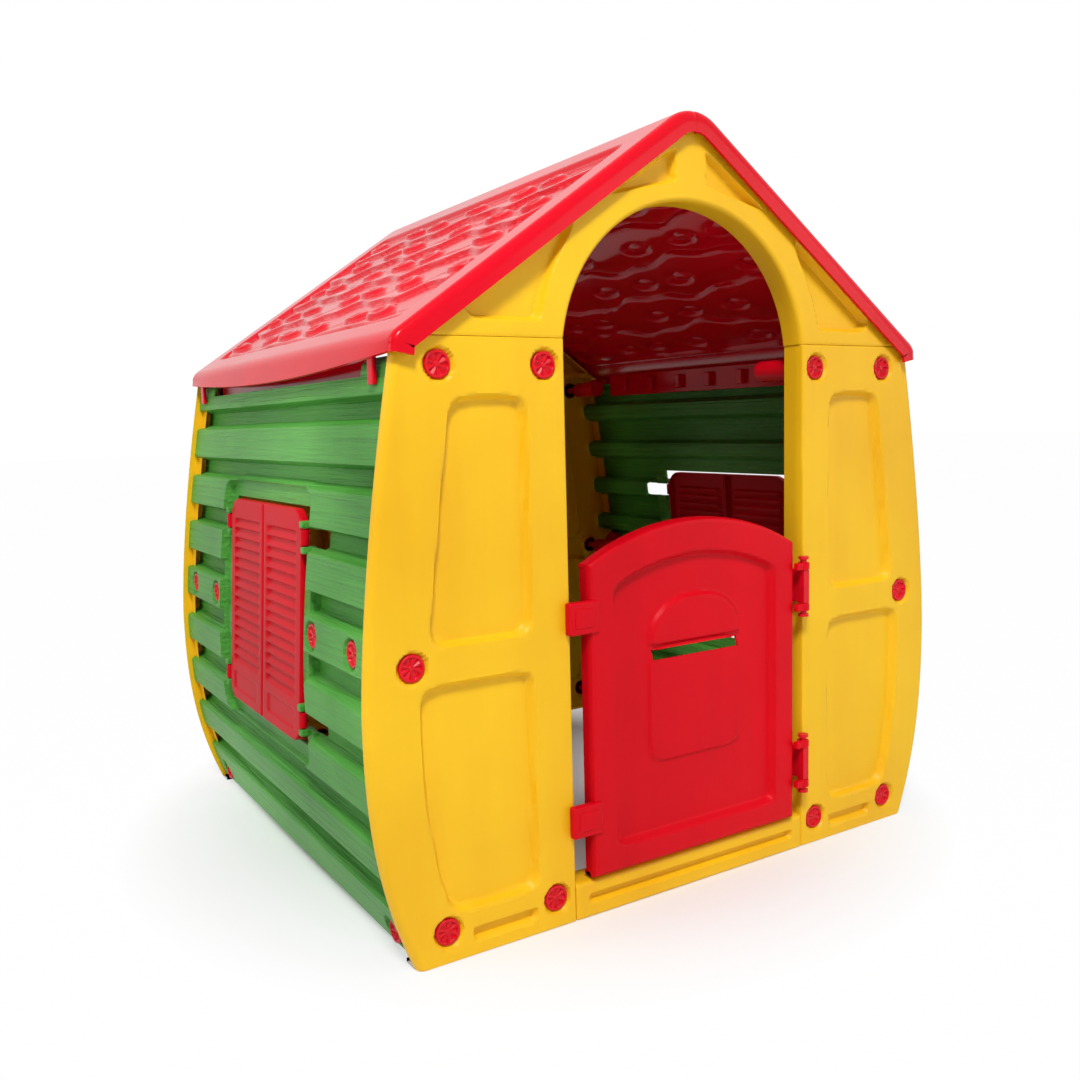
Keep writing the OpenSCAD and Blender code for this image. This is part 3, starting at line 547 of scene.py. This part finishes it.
lower_wall = join([wall_sheet(2.0, SEAM_Z - GAP / 2), shutter_lugs(True)])
upper_wall = join([wall_sheet(SEAM_Z + GAP / 2, WALL_TOP_Z), shutter_lugs(False)])
for hand, sx in (("right", 1), ("left", -1)):
    for level, shape in (("lower", lower_wall), ("upper", upper_wall)):
        node = f"{hand}_wall_{level}"
        make_mesh(node + "_planks", *mirrored(*shape, sx, 1), GREEN, "root", "green_planks", [node])


# ---- Roof ---------------------------------------------------------------------------

FIELD_U0, FIELD_U1 = 82.0, 512.0
FIELD_Y = ROOF_Y - 58
COURSES = 5
LIP_DROP = 18.0


def roof_line():
    """Cross-section stops: place along it, point, outward normal."""
    arc = np.linspace(0, ROOF_A, 12)
    points = [(max(RIDGE_R * math.sin(a), 0.2), RIDGE_Z + RIDGE_R * math.cos(a)) for a in arc]
    start = np.array(points[-1])
    corner = np.array([EAVE_X, ROOF_APEX_Z - ROOF_PITCH * EAVE_X])
    foot = np.array([EAVE_X + 7, corner[1] - EAVE_H])
    down = (corner - start) / np.linalg.norm(corner - start)
    drop = (foot - corner) / np.linalg.norm(foot - corner)
    eave_r = 12.0
    stop = corner - down * eave_r
    count = round(np.linalg.norm(stop - start) / 3.0)
    points += [tuple(start + (stop - start) * k / count) for k in range(1, count + 1)]
    band_start = corner + drop * eave_r
    for k in range(1, 7):
        t = k / 6
        points.append(tuple((1 - t) ** 2 * stop + 2 * t * (1 - t) * corner + t * t * band_start))
    points += [tuple(band_start + (foot - band_start) * k / 6) for k in range(1, 7)]
    points = np.array(points)
    along = np.concatenate([[0], np.cumsum(np.linalg.norm(np.diff(points, axis=0), axis=1))])
    tangent = np.gradient(points, axis=0)
    tangent /= np.linalg.norm(tangent, axis=1, keepdims=True)
    return along, points, np.stack([-tangent[:, 1], tangent[:, 0]], -1)


def roof_relief(u, y):
    """Depth of the sunk field with wavy courses and oval bosses."""
    field = box_d(u, y, FIELD_U0, -FIELD_Y, FIELD_U1, FIELD_Y, 16)
    depth = sunk(field, 7, 12)
    inside = smooth((-field - 8) / 10)
    pitch = (FIELD_U1 - FIELD_U0) / COURSES
    for row in range(COURSES):
        line = FIELD_U0 + pitch * (row + 0.94)
        wave = 9 * np.sin(y / 46 + row * 2.2) + 4 * np.sin(y / 19 + row)
        past = u - line - wave
        depth = depth - inside * 5.5 * smooth((past + 46) / 44) * smooth((5 - past) / 5)
        shift = 70 * (row % 2)
        for k in range(-3, 4):
            du = (u - (line - 0.45 * pitch)) / 17
            dy = (y - (k * 128 + shift - 35 + 26 * math.sin(k * 2.3 + row * 1.7))) / 34
            r = np.hypot(du, dy)
            depth = depth - inside * (6.5 * smooth((1.15 - r) / 0.4) - 3.0 * smooth((0.62 - r) / 0.3))
    return depth


def roof_half():
    along, line, normal = roof_line()
    end = ROOF_Y
    ys = np.concatenate([steps(-end, -end + 12, 2), steps(-end + 12, end - 12, 5.0)[1:],
                         steps(end - 12, end, 2)[1:]])
    lips = [LIP_DROP, LIP_DROP * 0.66, LIP_DROP * 0.33]
    y_stops = np.concatenate([[-end] * 3, ys, [end] * 3])
    drops = np.concatenate([lips, np.zeros(len(ys)), lips[::-1]])
    u, y = np.meshgrid(along, y_stops)
    drop = np.broadcast_to(drops[:, None], u.shape)
    depth = roof_relief(u, y) + edge_drop(end - np.abs(y), 11)
    depth = depth + edge_drop(u, 2.5)
    inward = depth + drop
    x = line[:, 0] - inward * normal[:, 0]
    z = line[:, 1] - inward * normal[:, 1]
    band = smooth((u - (along[-1] - EAVE_H)) / EAVE_H)
    z = z + 16 * (y / end) ** 2 * band
    x = np.minimum(x - 5 * (np.abs(y) / end) ** 8 * band, EAVE_X + 7)
    grid = np.stack([np.maximum(x, 0.2), y, z], -1)
    points, faces = sheet_mesh(grid, all_cells(y_stops, along), SHEET)
    points[:, 1] = np.clip(points[:, 1], -end, end)
    return points, faces


def roof_fittings():
    """Flange behind the top plank, end hooks and the row of clips along the eave."""
    inner_x = float(half_w(WALL_TOP_Z)) - WALL_INSET - SHEET - 5
    shapes = [rounded_block((inner_x - 4, -337, WALL_TOP_Z - 28), (inner_x, 337, 779), 1.5)]
    hook_x = float(half_w(WALL_TOP_Z - 34)) - WALL_INSET + 0.5
    for sy in (-1, 1):
        low, high = (hook_x, sy * 395 - 9, WALL_TOP_Z - 34), (hook_x + 6, sy * 395 + 9, 777)
        shapes.append(rounded_block(low, high, 2))
    for k in range(-3, 4):
        low, high = (inner_x - 14, k * 92 - 9, WALL_TOP_Z - 20), (inner_x - 3, k * 92 + 9, 770)
        shapes.append(rounded_block(low, high, 3))
    return join(shapes)


roof_shape = join([roof_half(), roof_fittings()])
make_mesh("right_roof_shell", *roof_shape, RED_ROOF, "root", "red_roof", ["right_roof"])
make_mesh("left_roof_shell", *mirrored(*roof_shape, -1, 1), RED_ROOF, "root", "red_roof", ["left_roof"])


# ---- Door -----------------------------------------------------------------------------

HINGE_X = DOORWAY_X - 11
DOOR_Y = FRONT_Y - 9
HINGE_Y = DOOR_Y - 4
DOOR_X1 = HINGE_X - 15
DOOR_W, DOOR_H = 378.0, 482.0
DOOR_X0 = DOOR_X1 - DOOR_W
DOOR_Z0 = 57.0
DOOR_Z1 = DOOR_Z0 + DOOR_H
DOOR_RISE = 50.0
DOOR_T, DOOR_SHEET = 22.0, 3.0
DOOR_MID = (DOOR_X0 + DOOR_X1) / 2
DOOR_ARC_R = ((DOOR_W / 2) ** 2 + DOOR_RISE ** 2) / (2 * DOOR_RISE)
SLOT_Z0, SLOT_Z1 = DOOR_Z0 + 286.5, DOOR_Z0 + 301.5
SLOT_HALF_W = 79.5
HINGE_ZS = [DOOR_Z0 + 44, DOOR_Z0 + 321]
HINGE_H = 84.0


def door_depth(x, z):
    from_mid = x - DOOR_MID
    arc = np.hypot(from_mid, z - (DOOR_Z1 - DOOR_ARC_R)) - DOOR_ARC_R
    field = soft_max([np.abs(from_mid) - 151, DOOR_Z0 + 34 - z, arc + 46], 12)
    depth = sunk(field, 11, 7)
    dome_z0 = SLOT_Z1 + 8
    rise = np.clip(z - dome_z0, 0, None)
    arch = ((np.abs(from_mid) / 83) ** 2.3 + (rise / 64) ** 2.3) ** (1 / 2.3)
    dome = soft_max([(arch - 1) * 60, dome_z0 - z], 4)
    depth -= 7 * smooth((2 - dome) / 4)
    plate = soft_max([np.abs(from_mid) - 84, DOOR_Z0 + 140 - z, z - SLOT_Z1 - 3], 20)
    depth -= 4 * smooth((2 - plate) / 3.5)
    edge = np.minimum(np.minimum(x - DOOR_X0, DOOR_X1 - x), np.minimum(z - DOOR_Z0, -arc))
    return np.maximum(depth, 0) + edge_drop(edge, 6)


def door_leaf():
    slot_x0, slot_x1 = DOOR_MID - SLOT_HALF_W, DOOR_MID + SLOT_HALF_W
    xs = steps(DOOR_X0, DOOR_X1, 3.0, [slot_x0, slot_x1, DOOR_X0 + 3, DOOR_X1 - 3])
    zs = steps(DOOR_Z0, DOOR_Z1, 3.0, [SLOT_Z0, SLOT_Z1, DOOR_Z0 + 3, DOOR_Z1 - 3])
    rim = [(5.0, 12.0), (5.0, DOOR_T), (0.0, DOOR_T), (0.0, DOOR_T / 2)]
    across, up = wrapped(xs, rim), wrapped(zs, rim)
    (x, z), (inset_x, inset_z), back = rim_grids(across, up)
    top = DOOR_Z1 - DOOR_ARC_R + np.sqrt(DOOR_ARC_R ** 2 - (x - DOOR_MID) ** 2)
    bend_z = DOOR_Z0 + 330
    z = np.where(z > bend_z, bend_z + (z - bend_z) * (top - bend_z) / (DOOR_Z1 - bend_z), z)
    depth = np.maximum(door_depth(x, z), back)
    grid = np.stack([x + inset_x, DOOR_Y + depth, z + inset_z], -1)
    keep = all_cells(up, across)
    cx = (across[:-1, 0] + across[1:, 0]) / 2
    cz = (up[:-1, 0] + up[1:, 0]) / 2
    front = (across[:-1, 2] + across[1:, 2] == 0)[None, :] & (up[:-1, 2] + up[1:, 2] == 0)[:, None]
    keep &= ~(front & ((cx > slot_x0) & (cx < slot_x1))[None, :]
              & ((cz > SLOT_Z0) & (cz < SLOT_Z1))[:, None])
    return sheet_mesh(grid, keep, DOOR_SHEET)


# Profile of a bored hinge knuckle, as (radius, height, star)
KNUCKLE = [(5.3, 0, 0), (8.2, 0, 0), (9, 0.8, 0), (9, 10.2, 0), (8.2, 11, 0), (5.3, 11, 0), (5.3, 0, 0)]


def door_fittings():
    """Hinge knuckles on one side of the door and its two catches on the other."""
    shapes = []
    for z in HINGE_ZS:
        for dz in (5, HINGE_H - 16):
            at = (HINGE_X, HINGE_Y, z + dz)
            shapes.append(lathe(KNUCKLE, at, (0, 0, 1), (1, 0, 0)))
            low, high = (HINGE_X - 19, HINGE_Y - 7, z + dz), (HINGE_X - 6.5, HINGE_Y + 2, z + dz + 11)
            shapes.append(rounded_block(low, high, 2))
        middle = z + HINGE_H / 2
        low, high = (DOOR_X0 - 35, DOOR_Y - 4, middle - 22), (DOOR_X0 + 14, FRONT_Y - 0.5, middle + 22)
        shapes.append(rounded_block(low, high, 3.4))
        low, high = (DOOR_X0 - 26, DOOR_Y - 5.5, middle - 13), (DOOR_X0 + 4, DOOR_Y - 1, middle + 13)
        shapes.append(rounded_block(low, high, 1.6))
    return join(shapes)


make_mesh("door_leaf", *join([door_leaf(), door_fittings()]), RED_DOOR, "door", "red_door", ["door"])


# ---- Shutters --------------------------------------------------------------------------

PIN_Y = 184.0
PIN_X = [float(half_w(z)) - WALL_INSET - 6 for z in NOTCH_ZS]
PIN_UP = np.array([PIN_X[1] - PIN_X[0], 0, NOTCH_ZS[1] - NOTCH_ZS[0]])
PIN_SPAN = float(np.linalg.norm(PIN_UP))
PIN_UP = PIN_UP / PIN_SPAN
PIN_OUT = np.array([PIN_UP[2], 0, -PIN_UP[0]])
PIN_MID = np.array([sum(PIN_X) / 2, PIN_Y, sum(NOTCH_ZS) / 2])
LEAF_W, LEAF_H, LEAF_T, LEAF_SHEET = 173.0, 336.0, 11.0, 2.5
LEAF_EDGE = 10.0
SLATS = 15


def leaf_depth(y, z):
    slat_z0, slat_z1 = -LEAF_H / 2 + 60, LEAF_H / 2 - 30
    field = box_d(y, z, -LEAF_EDGE - LEAF_W + 17, slat_z0, -LEAF_EDGE - 20, slat_z1, 5)
    phase = ((z - slat_z0) / (slat_z1 - slat_z0) * SLATS) % 1
    louvre = 4.6 * smooth(phase / 0.78) * smooth((1 - phase) / 0.22)
    depth = louvre * smooth(-field / 5)
    foot = box_d(y, z, -LEAF_EDGE - LEAF_W + 26, -LEAF_H / 2 + 16, -LEAF_EDGE - 20, -LEAF_H / 2 + 48, 5)
    return depth + sunk(foot, 2.2, 3)


# Profile of a shutter pin and its barrel, as (radius, height, star)
PIN = [(0, -19, 0), (2.3, -19, 0), (2.5, -18.5, 0), (2.5, -11, 0), (5.6, -11, 0), (6, -10.5, 0),
       (6, 10.5, 0), (5.6, 11, 0), (2.5, 11, 0), (2.5, 18.5, 0), (2.3, 19, 0), (0, 19, 0)]


def leaf_shape():
    """One louvred leaf with its pins, laid along the tilted pin line of its window."""
    fine_y = -LEAF_EDGE - 34
    ys = np.concatenate([steps(-LEAF_EDGE - LEAF_W, fine_y, 4.0), steps(fine_y, -LEAF_EDGE, 2.0)[1:]])
    zs = steps(-LEAF_H / 2, LEAF_H / 2, 1.5)
    rim = [(3.0, LEAF_T - 4), (3.0, LEAF_T), (0.0, LEAF_T), (0.0, LEAF_T / 2)]
    across, up = wrapped(ys, rim), wrapped(zs, rim)
    (y, z), (inset_y, inset_z), back = rim_grids(across, up)
    corner = 32.0
    into = np.clip(y + LEAF_EDGE + corner, 0, corner)
    top = LEAF_H / 2 - corner + np.sqrt(corner ** 2 - into ** 2)
    bend_z = LEAF_H / 2 - corner - 4
    past = np.clip(np.abs(z) - bend_z, 0, None)
    z = np.sign(z) * (np.minimum(np.abs(z), bend_z) + past * (top - bend_z) / (LEAF_H / 2 - bend_z))
    edge = np.minimum(np.minimum(y + LEAF_EDGE + LEAF_W, -LEAF_EDGE - y), top - np.abs(z))
    depth = np.maximum(leaf_depth(y, z) + edge_drop(edge, 3), back)
    out = 2.0 - depth
    y, z = y + inset_y, z + inset_z
    shapes = [sheet_mesh(np.stack([out, y, z], -1), all_cells(up, across), LEAF_SHEET)]
    for side in (-1, 1):
        mid = side * PIN_SPAN / 2
        shapes.append(lathe(PIN, (0, 0, mid), (0, 0, 1), (1, 0, 0)))
        shapes.append(rounded_block((-4, -LEAF_EDGE - 4, mid - 11), (1.5, -2, mid + 11), 1.5))
    points, faces = join(shapes)
    world = PIN_MID + points[:, :1] * PIN_OUT + points[:, 1:2] * np.array([0, 1, 0])
    return world + points[:, 2:] * PIN_UP, faces


shutter_shape = leaf_shape()
for hand, sx in (("right", 1), ("left", -1)):
    for end, sy in (("back", 1), ("front", -1)):
        node = f"{hand}_{end}_shutter"
        make_mesh(node + "_leaf", *mirrored(*shutter_shape, sx, sy), RED_SHUTTER, node,
                  "red_shutters", [node])


# ---- Screws -------------------------------------------------------------------------------

def screw(origin, axis, across, shank):
    """A domed screw head with an eight-ray star, seat at origin, shank along axis."""
    head = [(0, -4.4, 0), (3, -4.5, 0), (4, -3.4, 0.5), (8, -3.6, 1.3), (13, -3.8, 1.3), (14, -5.6, 0.2),
            (15.4, -6, 0), (16.6, -5.6, 0), (HEAD_R, -4.6, 0), (HEAD_R, 0, 0),
            (7, 0, 0), (7, shank, 0), (0, shank, 0)]
    return lathe(head, origin, axis, across, 64)


panel_screw_shapes = []
for sx in (-1, 1):
    for x, z in PANEL_SCREWS:
        panel_screw_shapes.append(screw((sx * x, FRONT_Y + SEAT_D, z), (0, 1, 0), (1, 0, 0), 66))
front_screws = join(panel_screw_shapes)
wall_screws = join([screw((float(half_w(z)) - WALL_INSET - SEAT_D, y, z), (-1, 0, 0), (0, 1, 0), 14)
                    for y, z in WALL_SCREWS])
make_mesh("front_star_screws", *front_screws, RED_FITTING, "root", "red_fittings", ["front_screws"])
make_mesh("back_star_screws", *mirrored(*front_screws, 1, -1), RED_FITTING, "root",
          "red_fittings", ["back_screws"])
for hand, sx in (("right", 1), ("left", -1)):
    node = hand + "_wall_screws"
    make_mesh(hand + "_wall_star_screws", *mirrored(*wall_screws, sx, 1), RED_FITTING, "root",
              "red_fittings", [node])

CAD_FITTINGS = ("door_hinge_upper", "door_hinge_lower", "front_nuts", "back_nuts",
                "left_wall_nuts", "right_wall_nuts")
for node in CAD_FITTINGS:
    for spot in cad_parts[node].material_slots:
        spot.material = RED_FITTING


# ---- Floor, light and camera -----------------------------------------------------------------

def light_path_white(tree, base, strength):
    """Adds a white that camera, glossy and transmitted rays see, in place of base."""
    path = tree.nodes.new("ShaderNodeLightPath")
    seen = tree.nodes.new("ShaderNodeMath")
    seen.operation = "MAXIMUM"
    tree.links.new(path.outputs["Is Camera Ray"], seen.inputs[0])
    tree.links.new(path.outputs["Is Glossy Ray"], seen.inputs[1])
    either = tree.nodes.new("ShaderNodeMath")
    either.operation = "MAXIMUM"
    tree.links.new(seen.outputs["Value"], either.inputs[0])
    tree.links.new(path.outputs["Is Transmission Ray"], either.inputs[1])
    share = tree.nodes.new("ShaderNodeMath")
    share.operation = "MULTIPLY"
    share.inputs[1].default_value = strength
    tree.links.new(either.outputs["Value"], share.inputs[0])
    mix = tree.nodes.new("ShaderNodeMixShader")
    tree.links.new(share.outputs["Value"], mix.inputs["Fac"])
    tree.links.new(base, mix.inputs[1])
    return mix


def make_floor():
    bpy.ops.mesh.primitive_plane_add(size=60)
    floor = bpy.context.object
    floor.name = "floor"
    material = bpy.data.materials.new("pale_floor")
    material.use_nodes = True
    tree = material.node_tree
    shader = tree.nodes["Principled BSDF"]
    shader.inputs["Base Color"].default_value = (0.88, 0.88, 0.88, 1)
    shader.inputs["Roughness"].default_value = 0.9
    shader.inputs["Specular IOR Level"].default_value = 0.1
    glow = tree.nodes.new("ShaderNodeEmission")
    glow.inputs["Strength"].default_value = 1.0
    mix = light_path_white(tree, shader.outputs["BSDF"], 0.985)
    tree.links.new(glow.outputs["Emission"], mix.inputs[2])
    # Painted shade: the camera-seen white glow fades out towards the middle of the floor, and is gone
    # within 0.42 m of it. The floor under and round the house is therefore drawn darker, as a painted
    # contact shadow. The lamps' real shadows still fall there as well.
    where = tree.nodes.new("ShaderNodeTexCoord")
    reach = tree.nodes.new("ShaderNodeVectorMath")
    reach.operation = "LENGTH"
    tree.links.new(where.outputs["Object"], reach.inputs[0])
    away = tree.nodes.new("ShaderNodeMapRange")
    away.inputs["From Min"].default_value = 0.42
    away.inputs["From Max"].default_value = 0.72
    tree.links.new(reach.outputs["Value"], away.inputs["Value"])
    painted_shade_fade = tree.nodes.new("ShaderNodeMixShader")
    tree.links.new(away.outputs["Result"], painted_shade_fade.inputs["Fac"])
    tree.links.new(shader.outputs["BSDF"], painted_shade_fade.inputs[1])
    tree.links.new(mix.outputs["Shader"], painted_shade_fade.inputs[2])
    tree.links.new(painted_shade_fade.outputs["Shader"], tree.nodes["Material Output"].inputs["Surface"])
    floor.data.materials.append(material)


def make_world():
    world = bpy.data.worlds.new("studio")
    bpy.context.scene.world = world
    world.use_nodes = True
    tree = world.node_tree
    base = tree.nodes["Background"]
    base.inputs["Color"].default_value = (1, 1, 1, 1)
    base.inputs["Strength"].default_value = 0.26
    white = tree.nodes.new("ShaderNodeBackground")
    white.inputs["Color"].default_value = (1, 1, 1, 1)
    white.inputs["Strength"].default_value = 1.0
    mix = light_path_white(tree, base.outputs["Background"], 1.0)
    tree.links.new(white.outputs["Background"], mix.inputs[2])
    tree.links.new(mix.outputs["Shader"], tree.nodes["World Output"].inputs["Surface"])


def area_light(name, place, target, size, watts):
    data = bpy.data.lights.new(name, "AREA")
    data.shape = "SQUARE"
    data.size = size
    data.energy = watts
    lamp = bpy.data.objects.new(name, data)
    bpy.context.scene.collection.objects.link(lamp)
    lamp.location = place
    lamp.rotation_euler = (Vector(target) - Vector(place)).to_track_quat("-Z", "Y").to_euler()


CAMERA_AT = (-952.8, -1563.8, 676.3)
CAMERA_TURN_DEG = (32.0, 6.47, 1.49)       # towards +X from +Y, down, and rolled
CAMERA_LENS, CAMERA_SENSOR = 34.23, 36.0


def make_camera():
    place = Vector(CAMERA_AT) * MM
    yaw, pitch, roll = (math.radians(a) for a in CAMERA_TURN_DEG)
    ahead = Vector((math.sin(yaw) * math.cos(pitch), math.cos(yaw) * math.cos(pitch), -math.sin(pitch)))
    right = Vector((math.cos(yaw), -math.sin(yaw), 0))
    down = ahead.cross(right)
    image_x = math.cos(roll) * right + math.sin(roll) * down
    image_down = -math.sin(roll) * right + math.cos(roll) * down
    data = bpy.data.cameras.new("camera")
    data.sensor_width = CAMERA_SENSOR
    data.lens = CAMERA_LENS
    camera = bpy.data.objects.new("camera", data)
    bpy.context.scene.collection.objects.link(camera)
    turn = Matrix((image_x, -image_down, -ahead)).transposed().to_4x4()
    camera.matrix_world = Matrix.Translation(place) @ turn
    bpy.context.scene.camera = camera


make_floor()
make_world()
area_light("key", (-1.6, -2.6, 3.6), (0, 0, 0.5), 0.8, 140)
area_light("fill", (2.6, -3.2, 1.2), (0, 0, 0.5), 2.0, 22)
area_light("side", (-3.6, 0.8, 2.2), (0, 0, 0.5), 1.6, 34)
make_camera()
bpy.context.scene.view_settings.view_transform = "Standard"
